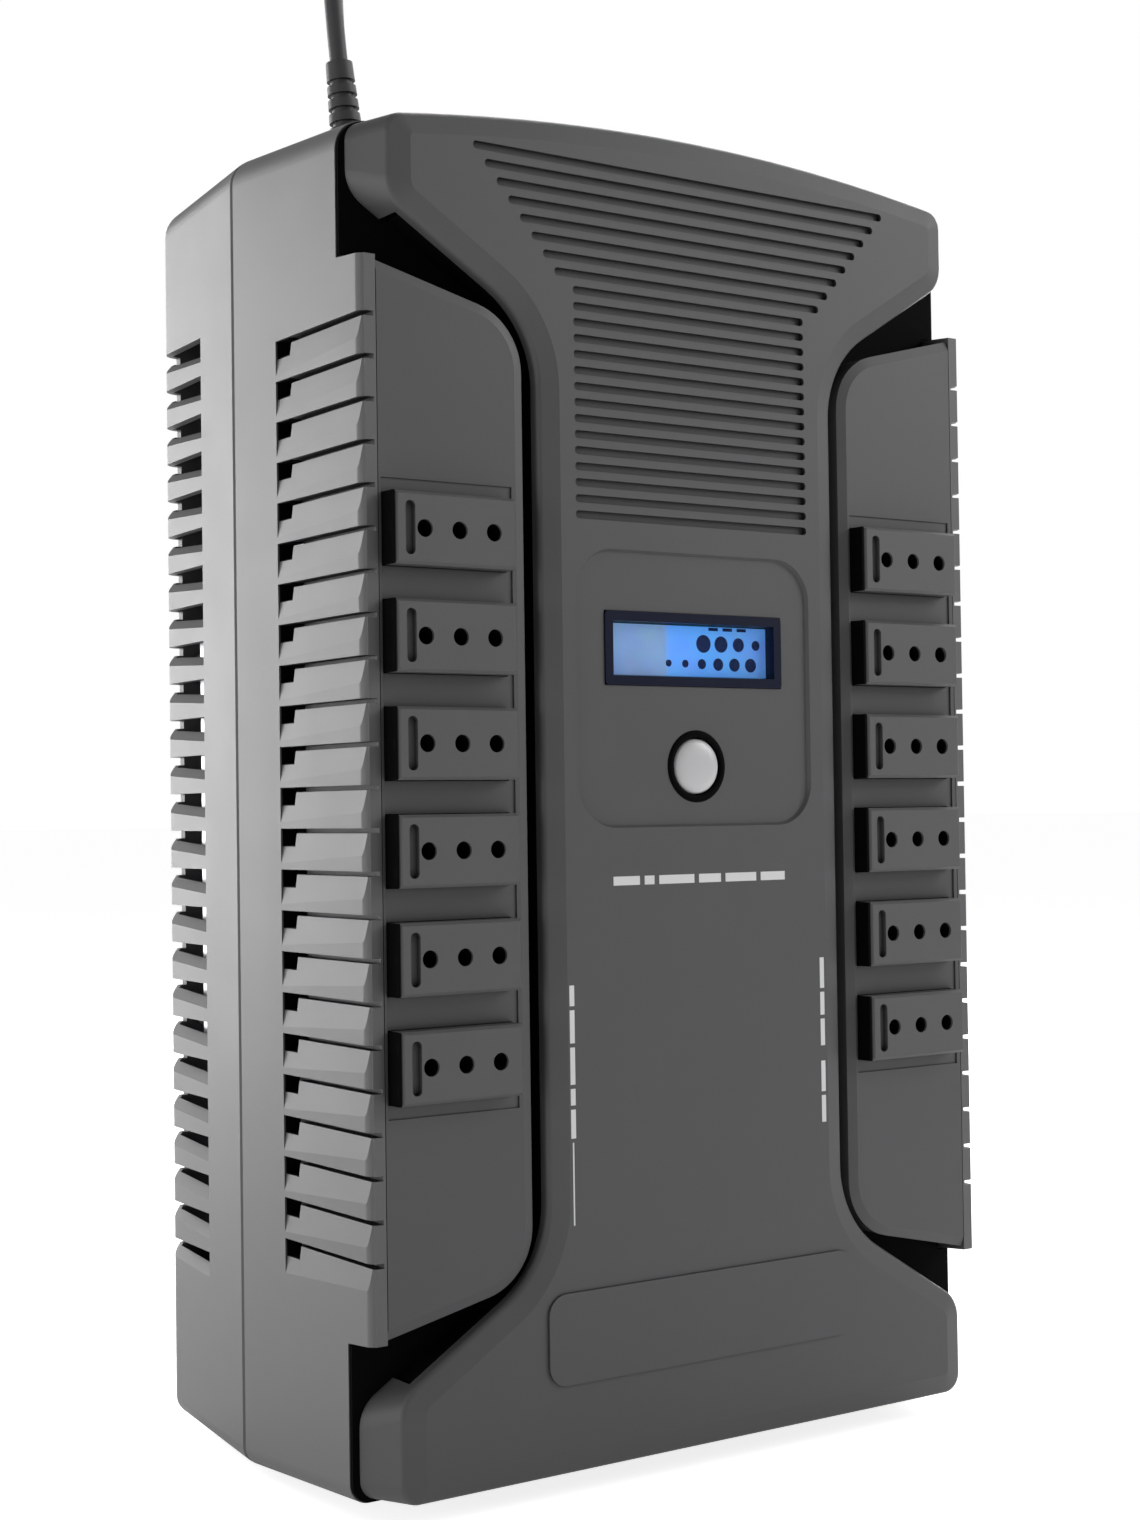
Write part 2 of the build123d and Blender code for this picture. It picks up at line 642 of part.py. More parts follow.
def display_bezel():
    outline = Pos(0, DISPLAY_Z) * RectangleRounded(DISPLAY_W, DISPLAY_H, 1.0)
    opening = Pos(0, DISPLAY_Z) * Rectangle(DISPLAY_W - 2 * BEZEL_RIM, DISPLAY_H - 2 * BEZEL_RIM)
    return sheet(outline, 3.6, 7.6) - sheet(opening, 3, 8)


def display_pane(depth0, depth1, clear):
    """A flat pane that fills the bezel's opening, less a little clearance."""
    width = DISPLAY_W - 2 * BEZEL_RIM - 2 * clear
    height = DISPLAY_H - 2 * BEZEL_RIM - 2 * clear
    return sheet(Pos(0, DISPLAY_Z) * Rectangle(width, height), depth0, depth1)


def display_board():
    board = block(-34, 34, 12.0, 13.6, -5, 60)
    for x in (-30, 30):
        for z in (0, 56):
            board -= rod(x, z, 1.6, 11, 15)
    return board


def display_posts():
    """Spacers that hold the display board off the cover."""
    return [rod(x, z, 2.8, 7.2, 12.0) - rod(x, z, 1.3, 6, 13) for x in (-30, 30) for z in (0, 56)]


def power_button():
    """A round cap that shows in the recess, and a flange behind the cover that holds it in."""
    cap = rod(0, BUTTON_Z, BUTTON_R, 3.2, 6.9)
    cap = fillet(cap.edges().group_by(Axis.Y)[0], 1.0)
    flange = rod(0, BUTTON_Z, BUTTON_R + 1.8, 7.4, 8.2)
    return cap + rod(0, BUTTON_Z, BUTTON_R - 0.5, 6.8, 7.5) + flange


def button_switch():
    base = block(-3, 3, 10.4, 12.0, BUTTON_Z - 3, BUTTON_Z + 3)
    return base + rod(0, BUTTON_Z, 1.5, 9.9, 10.5)


def display_cable():
    """A flat cable from the display board back to the main board."""
    bends = ((13.8, 52), (34, 52), (66, 62), (100.8, 62))
    path = FilletPolyline(*[place(22, depth, height) for depth, height in bends], radius=8)
    start = Plane(origin=place(22, *bends[0]), x_dir=(1, 0, 0), z_dir=(0, 1, 0))
    return sweep(start * Rectangle(10, 0.9), path=path)


# ---------------------------------------------------------------- inside


def main_board():
    board = block(-76, 76, BOARD_FRONT, BOARD_BACK, 50, 146)
    for x, z in BOARD_SCREWS:
        board -= rod(x, z, 1.6, BOARD_FRONT - 1, BOARD_BACK + 1)
    return board


def heat_sink():
    sink = block(-72, -20, 96.9, BOARD_FRONT - 0.1, 66, 122)
    for x in [-71 + 5.5 * i for i in range(10)]:
        sink += block(x - 0.8, x + 0.8, 74, 97, 66, 122)
    return sink


def power_transistors():
    """Four transistors in a row, clamped on the heat sink's upper end."""
    tops = []
    for x in (-64, -52, -40, -28):
        body = block(x - 5, x + 5, 92, 96.5, 122.3, 138)
        tops.append(body + block(x - 4, x + 4, 96.4, 97.6, 122.3, 142))
    return tops


def capacitors():
    spots = ((-6, 74), (12, 74), (-6, 94), (12, 94))
    return [rod(x, z, 8, 74, BOARD_FRONT - 0.1) for x, z in spots]


def relays():
    return [block(x, x + 15, 85, BOARD_FRONT - 0.1, z, z + 19) for x in (42, 62) for z in (78, 102)]


def buzzer():
    can = rod(8, 118, 6, 92, BOARD_FRONT - 0.1)
    return can - rod(8, 118, 1.2, 91, 94)


def transformer_core():
    """A laminated E-I core: two windows either side of the middle leg."""
    core = block(CORE_LEFT, CORE_RIGHT, CORE_FRONT, CORE_BACK, CORE_LOW, CORE_HIGH)
    for x in (CORE_LEFT + 16, CORE_RIGHT - 32):
        core -= block(x, x + 16, CORE_FRONT - 1, CORE_BACK + 1, CORE_LOW + 16, CORE_HIGH - 16)
    return core


def transformer_winding():
    """The coil on the middle leg, standing out in front of the core."""
    coil = block(-65.6, -2.4, 54, 105.9, CORE_LOW + 16.4, CORE_HIGH - 16.4)
    coil -= block(-50.4, -17.6, 65.6, 107, CORE_LOW, CORE_HIGH)
    return coil


def transformer_bracket():
    plate = block(-88, 20, BRACKET_FRONT, BRACKET_BACK, -63, 43)
    for x, z in TRANSFORMER_SCREWS:
        plate -= rod(x, z, 2.2, BRACKET_FRONT - 1, BRACKET_BACK + 1)
    return plate


def battery():
    case = block(-75.5, 75.5, 50, 115, -161.5, -67.5)
    lid_line = block(-76, 76, 49, 116, -82.4, -82.0) - block(-75.1, 75.1, 50.4, 114.6, -83, -81)
    return chamfer(case.edges().filter_by(Axis.Z), 1.5) - lid_line


def battery_terminals():
    return [block(x - 3.2, x + 3.2, 60, 60.8, -67.5, -60) for x in (-65, 65)]


def battery_strap():
    """A steel strap over the battery, turned down in front of it."""
    top = block(-12, 12, 48.2, BACK_INSIDE, -67.2, -66)
    front = block(-12, 12, 48.2, 49.4, -120, -66)
    return top + front


def lead(x, end_x):
    """One battery lead, from its terminal up to the main board."""
    points = [(x, 60.4, -58.9), (x, 50, -42), (x, 50, 30)]
    points += [(end_x, 70, 54), (end_x, 88, 60), (end_x, 100.8, 60)]
    path = FilletPolyline(*[place(*p) for p in points], radius=5)
    start = Plane(origin=place(*points[0]), z_dir=Vector(*place(*points[1])) - Vector(*place(*points[0])))
    return sweep(start * Circle(1.7), path=path)


def circuit_breaker():
    """The resettable breaker: a body under the pocket's floor and a threaded neck through it."""
    body = block(BREAKER_X - 8, BREAKER_X + 8, 84, 98, 128, POCKET_FLOOR - WALL - 0.1)
    neck = post(BREAKER_X, SOCKET_DEPTH, 4.9, POCKET_FLOOR - WALL - 0.5, POCKET_FLOOR + 4)
    way = post(BREAKER_X, SOCKET_DEPTH, 2.7, POCKET_FLOOR - 8, POCKET_FLOOR + 5)
    return body + neck - way


def breaker_nut():
    hexagon = RegularPolygon(7, 6)
    nut = Pos(*place(BREAKER_X, SOCKET_DEPTH, POCKET_FLOOR)) * extrude(hexagon, amount=2.5)
    return nut - post(BREAKER_X, SOCKET_DEPTH, 4.95, POCKET_FLOOR - 1, POCKET_FLOOR + 4)


def breaker_button():
    stem = post(BREAKER_X, SOCKET_DEPTH, 2.4, POCKET_FLOOR - 6.5, POCKET_FLOOR + 5.2)
    return fillet(stem.edges().group_by(Axis.Z)[-1], 0.6)


def socket(x, width, depth0, depth1, opening_w, opening_d):
    """A square-ended socket that stands up through the pocket's floor."""
    middle = (depth0 + depth1) / 2
    case = block(x - width / 2, x + width / 2, depth0, depth1, POCKET_FLOOR - 14, POCKET_FLOOR + 1.2)
    half_w = opening_w / 2
    half_d = opening_d / 2
    way = block(x - half_w, x + half_w, middle - half_d, middle + half_d, POCKET_FLOOR - 9, POCKET_FLOOR + 2)
    return case - way


def usb_port():
    port = socket(USB_X, 12.0, 85.6, 96.4, 8.6, 8.0)
    return port + block(USB_X - 2.8, USB_X + 2.8, 89.5, 92.5, POCKET_FLOOR - 9.5, POCKET_FLOOR - 1)


def line_ports():
    return [socket(x, 14.0, 84.6, 97.4, 9.6, 7.4) for x in LINE_PORT_X]


# ---------------------------------------------------------------- power cord


CORD_R = CORD_DIAMETER / 2
FLOOR = -MID_Z
COIL_NEAR = COIL_DEPTH - COIL_OUTER_TURN_R  # depth where the cord joins and leaves the coil
PLUG_AXIS = FLOOR + 3 * CORD_R  # the plug lies level with the coil's upper turns

# The route of the uncoiled stretch as (x, depth, height), after it leaves the sleeve's tip:
# up, over and down behind the object, then across the floor to the coil.
CORD_ROUTE = [
    (-53.08, 94.11, 220.74),
    (-51.8, 97.0, 240.0),
    (-44.5, 110.2, 262.4),
    (-31.7, 133.4, 267.6),
    (-20.8, 152.5, 251.7),
    (-17.0, 157.0, 224.0),
    (-15.0, 156.4, 194.0),
    (-15.8, 157.6, 140.0),
    (-14.6, 157.0, 70.0),
    (-13.8, 157.8, 0.0),
    (-14.8, 158.4, -62.0),
    (-15.4, 157.2, -108.0),
    (-12.0, 155.6, -142.0),
    (6.0, 150.6, -165.4),
    (COIL_X, COIL_NEAR, FLOOR + CORD_R),
]


def sleeve_plane():
    """The sleeve's foot, on the pocket's floor, with its axis leaning."""
    return Plane(origin=place(CORD_X, CORD_DEPTH, POCKET_FLOOR), z_dir=CORD_LEAN)


def strain_relief():
    """A ribbed, tapered sleeve with a flange under the pocket's floor."""
    profile = Polyline(
        (0, -1.0),
        (RELIEF_BASE_R, -1.0),
        (RELIEF_BASE_R, 5.0),
        (RELIEF_TIP_R, RELIEF_LENGTH),
        (0, RELIEF_LENGTH),
        close=True,
    )
    sleeve = revolve(Plane.XZ * make_face(profile), axis=Axis.Z)
    pitch = (RELIEF_LENGTH - 10) / RELIEF_RIBS
    for i in range(RELIEF_RIBS):
        height = 8 + i * pitch
        radius = RELIEF_BASE_R + height / RELIEF_LENGTH * (RELIEF_TIP_R - RELIEF_BASE_R)
        groove = Cylinder(radius + 1, 1.5) - Cylinder(radius - 0.9, 1.5)
        sleeve -= Pos(0, 0, height) * groove
    sleeve = sleeve_plane() * sleeve
    sleeve -= post(CORD_X, CORD_DEPTH, 12, POCKET_FLOOR - 5, POCKET_FLOOR)
    low = POCKET_FLOOR - WALL
    neck = post(CORD_X, CORD_DEPTH, RELIEF_BASE_R - 0.1, low - 0.2, POCKET_FLOOR + 0.5)
    return sleeve + neck + post(CORD_X, CORD_DEPTH, 8, low - 2.5, low - 0.1)


def route_radii(points):
    """The arc at each corner of a route: as large as its two runs allow."""
    radii = []
    for before, corner, after in zip(points, points[1:], points[2:]):
        first = Vector(*corner) - Vector(*before)
        second = Vector(*after) - Vector(*corner)
        turn = math.radians(first.get_angle(second))
        radii.append(0.45 * min(first.length, second.length) / math.tan(turn / 2))
    return radii


def cord_tube():
    tip = sleeve_plane().location * Pos(0, 0, RELIEF_LENGTH)
    points = [tuple(tip.position)] + [place(*p) for p in CORD_ROUTE]
    radii = route_radii(points)
    print("cord radii", [round(r) for r in radii])
    path = FilletPolyline(*points, radius=radii)
    start = Plane(origin=points[0], z_dir=Vector(*points[1]) - Vector(*points[0]))
    tube = sweep(start * Circle(CORD_R), path=path)
    print("cord tube volume", round(tube.volume))
    print("cord section x length", round(math.pi * CORD_R**2 * path.length))
    turns = (CORD_LENGTH - path.length - (PLUG_X - COIL_X)) / (2 * math.pi * COIL_MEAN_R)
    print("cord tube length", round(path.length), "coil turns", round(turns, 2))
    return tube


def cord_tail():
    """The short straight stretch from the coil's upper layer to the plug."""
    start = Plane(origin=place(COIL_X, COIL_NEAR, PLUG_AXIS), z_dir=(1, 0, 0))
    return extrude(start * Circle(CORD_R), amount=PLUG_X - COIL_X)


def cord_coil():
    """The outer shape of the coiled rest of the cord, lying flat on the floor."""
    outer = Cylinder(COIL_MEAN_R + COIL_HALF_WIDTH, COIL_HEIGHT)
    ring = outer - Cylinder(COIL_MEAN_R - COIL_HALF_WIDTH, COIL_HEIGHT)
    ring = fillet(ring.edges().filter_by(GeomType.CIRCLE), 2.3)
    coil = Pos(*place(COIL_X, COIL_DEPTH, FLOOR + COIL_HEIGHT / 2)) * ring
    last = Vector(*place(*CORD_ROUTE[-1]))
    before = Vector(*place(*CORD_ROUTE[-2]))
    entry = Plane(origin=last, z_dir=before - last) * Circle(CORD_R + 0.1)
    coil -= extrude(entry, amount=40)
    leaving = Plane(origin=place(COIL_X, COIL_NEAR, PLUG_AXIS), z_dir=(1, 0, 0)) * Circle(CORD_R + 0.1)
    return coil - extrude(leaving, amount=40)


def plug_body():
    """A straight three-pin plug, lying on the floor beside the coil."""
    high = FLOOR + 2 * (PLUG_AXIS - FLOOR)
    body = block(PLUG_X + 12, PLUG_X + 42, COIL_NEAR - 15, COIL_NEAR + 15, FLOOR, high)
    body = fillet(body.edges().filter_by(Axis.X), 4)
    entry = Plane(origin=place(PLUG_X, COIL_NEAR, PLUG_AXIS), z_dir=(1, 0, 0))
    return body + entry * Pos(0, 0, 6.1) * Cone(3.6, 6.5, 12.2)


def plug_pins():
    """Three round pins in a line, the middle one for earth."""
    pins = []
    for offset in row(3, PIN_PITCH):
        foot = place(PLUG_X + 42, COIL_NEAR + offset, PLUG_AXIS)
        pin = extrude(Plane(origin=foot, z_dir=(1, 0, 0)) * Circle(2.0), amount=19)
        pins.append(chamfer(pin.edges().group_by(Axis.X)[-1], 0.6))
    return pins


# ---------------------------------------------------------------- fastenings and feet


def screw(x, height, head_r, shank_r, head_depth, tip_depth):
    """A screw driven from the back when tip_depth is less than head_depth, otherwise from the front."""
    way = 1 if head_depth > tip_depth else -1
    heads = sorted((head_depth, head_depth + way * 2.2))
    shank = sorted((head_depth + way * 0.1, tip_depth))
    head = rod(x, height, head_r, *heads)
    slot_depths = sorted((head_depth + way * 1.4, head_depth + way * 3))
    slot = block(x - 0.5, x + 0.5, *slot_depths, height - 2, height + 2)
    return head + rod(x, height, shank_r, *shank) - slot


def case_screws():
    ends = [(x, z) for x in (-CASE_SCREW_X, CASE_SCREW_X) for z in (-CASE_SCREW_Z, CASE_SCREW_Z)]
    return [screw(x, z, SCREW_HEAD_R, SCREW_R, SEAM + 12, SEAM - 18) for x, z in ends]


def board_screws():
    return [screw(x, z, 2.8, 1.25, BOARD_FRONT, BOARD_BACK + 8) for x, z in BOARD_SCREWS]


def transformer_screws():
    return [screw(x, z, 3.6, 1.5, BRACKET_FRONT, BRACKET_BACK + 8) for x, z in TRANSFORMER_SCREWS]


def rubber_feet():
    feet = []
    hull = mid_outer() + rear_outer()
    for x in (-FOOT_X, FOOT_X):
        for depth in FOOT_DEPTHS:
            pad = post(x, depth, FOOT_R, FLOOR, FLOOR + 8)
            pad = chamfer(pad.edges().group_by(Axis.Z)[0], 0.8)
            feet.append(pad - hull)
    return feet


# ---------------------------------------------------------------- writing


def gather():
    """Every node's shape by name."""
    parts = {
        "rear_shell": rear_shell(),
        "mid_shell": mid_shell(),
        "inner_frame": inner_frame(),
        "front_cover": front_cover(),
        "display_bezel": display_bezel(),
        "display_window": display_pane(5.4, 6.4, 0.05),
        "display_panel": display_pane(6.6, 9.4, 0.4),
        "display_board": display_board(),
        "display_posts": display_posts(),
        "display_cable": display_cable(),
        "power_button": power_button(),
        "button_switch": button_switch(),
        "main_board": main_board(),
        "heat_sink": heat_sink(),
        "power_transistors": power_transistors(),
        "capacitors": capacitors(),
        "relays": relays(),
        "buzzer": buzzer(),
        "transformer_core": transformer_core(),
        "transformer_winding": transformer_winding(),
        "transformer_bracket": transformer_bracket(),
        "battery": battery(),
        "battery_terminals": battery_terminals(),
        "battery_strap": battery_strap(),
        "battery_leads": [lead(-65, -14), lead(65, 68)],
        "circuit_breaker": circuit_breaker(),
        "breaker_nut": breaker_nut(),
        "breaker_button": breaker_button(),
        "usb_port": usb_port(),
        "line_ports": line_ports(),
        "strain_relief": strain_relief(),
        "power_cord": cord_tube(),
        "cord_coil": cord_coil(),
        "cord_tail": cord_tail(),
        "power_plug": plug_body(),
        "plug_pins": plug_pins(),
        "case_screws": case_screws(),
        "board_screws": board_screws(),
        "transformer_screws": transformer_screws(),
        "rubber_feet": rubber_feet(),
    }
    for side, word in ((-1, "left"), (1, "right")):
        parts[f"outlet_panel_{word}"] = outlet_panel(side)
        parts[f"outlet_carrier_{word}"] = outlet_carrier(side)
        parts[f"outlet_contacts_{word}"] = outlet_contacts(side)
        for number, height in enumerate(reversed(row(OUTLETS, OUTLET_PITCH)), start=1):
            parts[f"outlet_{word}_{number}"] = outlet(side, height)
    return parts


os.makedirs("parts", exist_ok=True)
for name, shape in gather().items():
    solids = [piece.solid() for piece in shape] if isinstance(shape, list) else [shape]
    export_step(Compound(children=solids), f"parts/{name}.step")
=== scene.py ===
import math

import bmesh
import bpy
from mathutils import Matrix, Vector


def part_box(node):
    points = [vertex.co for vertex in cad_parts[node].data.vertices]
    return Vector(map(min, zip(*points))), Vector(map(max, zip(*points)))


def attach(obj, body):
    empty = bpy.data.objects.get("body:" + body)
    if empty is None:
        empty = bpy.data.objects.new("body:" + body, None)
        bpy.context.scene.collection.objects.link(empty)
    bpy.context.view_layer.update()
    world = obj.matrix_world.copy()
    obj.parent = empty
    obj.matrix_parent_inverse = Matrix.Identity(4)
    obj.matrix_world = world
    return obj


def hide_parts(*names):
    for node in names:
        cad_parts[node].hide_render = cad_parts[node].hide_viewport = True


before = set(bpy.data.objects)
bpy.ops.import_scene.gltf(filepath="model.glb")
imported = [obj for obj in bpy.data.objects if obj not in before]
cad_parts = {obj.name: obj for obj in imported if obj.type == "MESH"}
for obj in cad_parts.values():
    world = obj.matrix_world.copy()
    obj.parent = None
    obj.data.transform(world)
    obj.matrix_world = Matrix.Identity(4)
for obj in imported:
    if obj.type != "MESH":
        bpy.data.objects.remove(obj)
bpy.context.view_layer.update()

# The part's own numbers, in metres. FRONT_Y is the outlets' front face and MID_Z the body's middle.
FRONT_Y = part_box("outlet_left_1")[0].y
MID_Z = 0.170
FLOOR_Z = 0.0

# The same numbers in millimetres: depths behind the outlets' face, heights above the body's middle.
COVER_FACE = 3.0
BUTTON_HEIGHT = 7.2
BUTTON_FACE = 3.2
DISPLAY_HEIGHT = 36.6
DISPLAY_FACE = 6.6
OUTLET_X = 71.8
OUTLET_PITCH = 25.0
OUTLETS = 6
PIN_PITCH = 9.5
VENTS = 23
VENT_PITCH = 10.0
VENT_TOP = 3.0
VENT_SIDES = (90.9, 94.85)
VENT_FRONT = 41.1
VENT_BACK = 47.47


def row(count, pitch):
    """Evenly spaced positions, centred on zero."""
    return [(i - (count - 1) / 2) * pitch for i in range(count)]


def place(x, depth, height):
    """A point in the row frame from millimetres across, behind the outlets' face and above the middle."""
    return Vector((x / 1000, FRONT_Y + depth / 1000, MID_Z + height / 1000))


# ---------------------------------------------------------------- camera

CAMERA_AT = Vector((-0.3478, -0.5100, 0.1664))
CAMERA_YAW = math.radians(34.3)
CAMERA_PITCH = math.radians(1.291)
CAMERA_ROLL = math.radians(-0.795)
CAMERA_LENS = 53.29


def make_camera():
    """A camera that looks at the front and the left side from about the body's middle."""
    yaw = Matrix.Rotation(-CAMERA_YAW, 3, "Z")
    pitch = Matrix.Rotation(math.pi / 2 + CAMERA_PITCH, 3, "X")
    roll = Matrix.Rotation(CAMERA_ROLL, 3, "Z")
    data = bpy.data.cameras.new("camera")
    data.lens = CAMERA_LENS
    data.sensor_width = 36.0
    data.clip_start = 0.01
    data.clip_end = 50.0
    camera = bpy.data.objects.new("camera", data)
    camera.matrix_world = Matrix.Translation(CAMERA_AT) @ (yaw @ pitch @ roll).to_4x4()
    bpy.context.scene.collection.objects.link(camera)
    bpy.context.scene.camera = camera


make_camera()

# ---------------------------------------------------------------- materials


def new_material(name, roughness, specular):
    """A material with a procedural shader, its node tree and the shader node."""
    material = bpy.data.materials.new(name)
    material.use_nodes = True
    tree = material.node_tree
    shader = tree.nodes["Principled BSDF"]
    shader.inputs["Roughness"].default_value = roughness
    shader.inputs["Specular IOR Level"].default_value = specular
    return material, tree, shader


def add_grain(tree, shader, grain, depth):
    """A fine spark-eroded surface, as a small bump."""
    where = tree.nodes.new("ShaderNodeTexCoord")
    fine = tree.nodes.new("ShaderNodeTexNoise")
    fine.inputs["Scale"].default_value = 1 / grain
    fine.inputs["Detail"].default_value = 2.0
    tree.links.new(where.outputs["Object"], fine.inputs["Vector"])
    bump = tree.nodes.new("ShaderNodeBump")
    bump.inputs["Strength"].default_value = depth
    bump.inputs["Distance"].default_value = 0.0001
    tree.links.new(fine.outputs["Fac"], bump.inputs["Height"])
    tree.links.new(bump.outputs["Normal"], shader.inputs["Normal"])


def add_painted_shade(tree, tone, reach):
    """Paints shade into a colour inside slits, seams and corners, where ambient occlusion finds them;
    returns the shaded colour's socket.
    """
    shade = tree.nodes.new("ShaderNodeAmbientOcclusion")
    shade.samples = 16
    shade.inputs["Distance"].default_value = reach
    curve = tree.nodes.new("ShaderNodeMapRange")
    curve.inputs["From Min"].default_value = 0.25
    curve.inputs["From Max"].default_value = 0.75
    tree.links.new(shade.outputs["AO"], curve.inputs["Value"])
    darkened = tree.nodes.new("ShaderNodeMix")
    darkened.data_type = "RGBA"
    darkened.inputs["A"].default_value = (0.002, 0.002, 0.002, 1)
    tree.links.new(curve.outputs["Result"], darkened.inputs["Factor"])
    tree.links.new(tone, darkened.inputs["B"])
    return darkened.outputs["Result"]


def plastic(name, colour, roughness, grain=0.00035, depth=0.25, mottle=0.05, specular=0.4, painted_shade_reach=0.0):
    """Moulded plastic: a fine grain, faint mottling, slightly uneven gloss and, if asked, painted shade in
    crevices.
    """
    material, tree, shader = new_material(name, roughness, specular)
    where = tree.nodes.new("ShaderNodeTexCoord")
    cloud = tree.nodes.new("ShaderNodeTexNoise")
    cloud.inputs["Scale"].default_value = 60.0
    cloud.inputs["Detail"].default_value = 4.0
    tree.links.new(where.outputs["Object"], cloud.inputs["Vector"])
    tone = tree.nodes.new("ShaderNodeMix")
    tone.data_type = "RGBA"
    tone.inputs["A"].default_value = (*[c * (1 - mottle) for c in colour], 1)
    tone.inputs["B"].default_value = (*[c * (1 + mottle) for c in colour], 1)
    tree.links.new(cloud.outputs["Fac"], tone.inputs["Factor"])
    result = tone.outputs["Result"]
    # Painted shade: the base colour goes near black in slits, seams and corners.
    if painted_shade_reach:
        result = add_painted_shade(tree, result, painted_shade_reach)
    tree.links.new(result, shader.inputs["Base Color"])
    gloss = tree.nodes.new("ShaderNodeMapRange")
    gloss.inputs["To Min"].default_value = roughness - 0.04
    gloss.inputs["To Max"].default_value = roughness + 0.04
    tree.links.new(cloud.outputs["Fac"], gloss.inputs["Value"])
    tree.links.new(gloss.outputs["Result"], shader.inputs["Roughness"])
    add_grain(tree, shader, grain, depth)
    return material


def metal(name, colour, roughness):
    """Plain metal with a fine uneven polish."""
    material = plastic(name, colour, roughness, grain=0.0006, depth=0.1, mottle=0.05)
    material.node_tree.nodes["Principled BSDF"].inputs["Metallic"].default_value = 1.0
    return material


def lit_display():
    """The backlit display: bright blue, with a paler third at the left end."""
    material, tree, shader = new_material("display_blue", 0.3, 0.4)
    where = tree.nodes.new("ShaderNodeTexCoord")
    split = tree.nodes.new("ShaderNodeSeparateXYZ")
    tree.links.new(where.outputs["Object"], split.inputs["Vector"])
    ramp = tree.nodes.new("ShaderNodeValToRGB")
    elements = ramp.color_ramp.elements
    elements[0].position = 0.0
    elements[0].color = (0.16, 0.28, 0.52, 1)
    elements[1].position = 1.0
    elements[1].color = (0.09, 0.25, 0.62, 1)
    elements.new(0.35).color = (0.18, 0.33, 0.57, 1)
    elements.new(0.38).color = (0.11, 0.34, 0.92, 1)
    elements.new(0.6).color = (0.08, 0.32, 0.85, 1)
    half_width = 0.0256
    across = tree.nodes.new("ShaderNodeMapRange")
    across.inputs["From Min"].default_value = -half_width
    across.inputs["From Max"].default_value = half_width
    tree.links.new(split.outputs["X"], across.inputs["Value"])
    tree.links.new(across.outputs["Result"], ramp.inputs["Fac"])
    cloud = tree.nodes.new("ShaderNodeTexNoise")
    cloud.inputs["Scale"].default_value = 140.0
    tree.links.new(where.outputs["Object"], cloud.inputs["Vector"])
    blend = tree.nodes.new("ShaderNodeMix")
    blend.data_type = "RGBA"
    blend.blend_type = "SOFT_LIGHT"
    blend.inputs["Factor"].default_value = 0.35
    tree.links.new(ramp.outputs["Color"], blend.inputs["A"])
    tree.links.new(cloud.outputs["Color"], blend.inputs["B"])
    tree.links.new(blend.outputs["Result"], shader.inputs["Base Color"])
    tree.links.new(blend.outputs["Result"], shader.inputs["Emission Color"])
    shader.inputs["Emission Strength"].default_value = 0.42
    return material


def window_glass():
    """The display's clear pane: mostly see-through, with a light surface gloss."""
    material, tree, shader = new_material("display_glass", 0.08, 0.15)
    shader.inputs["Alpha"].default_value = 0.03
    shader.inputs["Base Color"].default_value = (0.2, 0.35, 0.7, 1)
    add_grain(tree, shader, 0.002, 0.05)
    return material


# The shell, cover, tile and cord greys carry painted shade in their crevices, out to the given reach.
MATERIALS = {
    "shell_grey": plastic("shell_grey", (0.12, 0.12, 0.123), 0.5, painted_shade_reach=0.006),
    "cover_grey": plastic("cover_grey", (0.082, 0.082, 0.085), 0.48, painted_shade_reach=0.003),
    "liner_black": plastic("liner_black", (0.002, 0.002, 0.0022), 0.7, specular=0.04),
    "tile_grey": plastic("tile_grey", (0.095, 0.095, 0.097), 0.5, painted_shade_reach=0.0025),
    "display_black": plastic("display_black", (0.003, 0.006, 0.022), 0.4, specular=0.15),
    "display_glass": window_glass(),
    "display_blue": lit_display(),
    "display_ink": plastic("display_ink", (0.001, 0.006, 0.06), 0.5, specular=0.05),
    "print_white": plastic("print_white", (0.72, 0.72, 0.72), 0.5),
    "circuit_board": plastic("circuit_board", (0.02, 0.12, 0.05), 0.4),
    "white_nylon": plastic("white_nylon", (0.6, 0.6, 0.58), 0.5),
    "button_silver": plastic("button_silver", (0.57, 0.57, 0.58), 0.32, specular=0.6),
    "black_plastic": plastic("black_plastic", (0.012, 0.012, 0.013), 0.45),
    "aluminium_fins": metal("aluminium_fins", (0.6, 0.6, 0.62), 0.4),
    "capacitor_sleeve": plastic("capacitor_sleeve", (0.01, 0.02, 0.08), 0.3),
    "core_steel": metal("core_steel", (0.25, 0.25, 0.26), 0.55),
    "winding_tape": plastic("winding_tape", (0.55, 0.42, 0.1), 0.4),
    "zinc_steel": metal("zinc_steel", (0.55, 0.55, 0.57), 0.4),
    "battery_case": plastic("battery_case", (0.05, 0.05, 0.055), 0.5),
    "brass": metal("brass", (0.7, 0.5, 0.2), 0.35),
    "lead_insulation": plastic("lead_insulation", (0.4, 0.02, 0.02), 0.4),
    "cord_grey": plastic("cord_grey", (0.055, 0.055, 0.058), 0.5, painted_shade_reach=0.002),
    "rubber": plastic("rubber", (0.01, 0.01, 0.01), 0.8),
}


def paint_nodes():
    """Gives each CAD node its own material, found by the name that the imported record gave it."""
    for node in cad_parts.values():
        for i, packed in enumerate(node.data.materials):
            node.data.materials[i] = MATERIALS[packed.name.split(".")[0]]


paint_nodes()

# ---------------------------------------------------------------- small parts


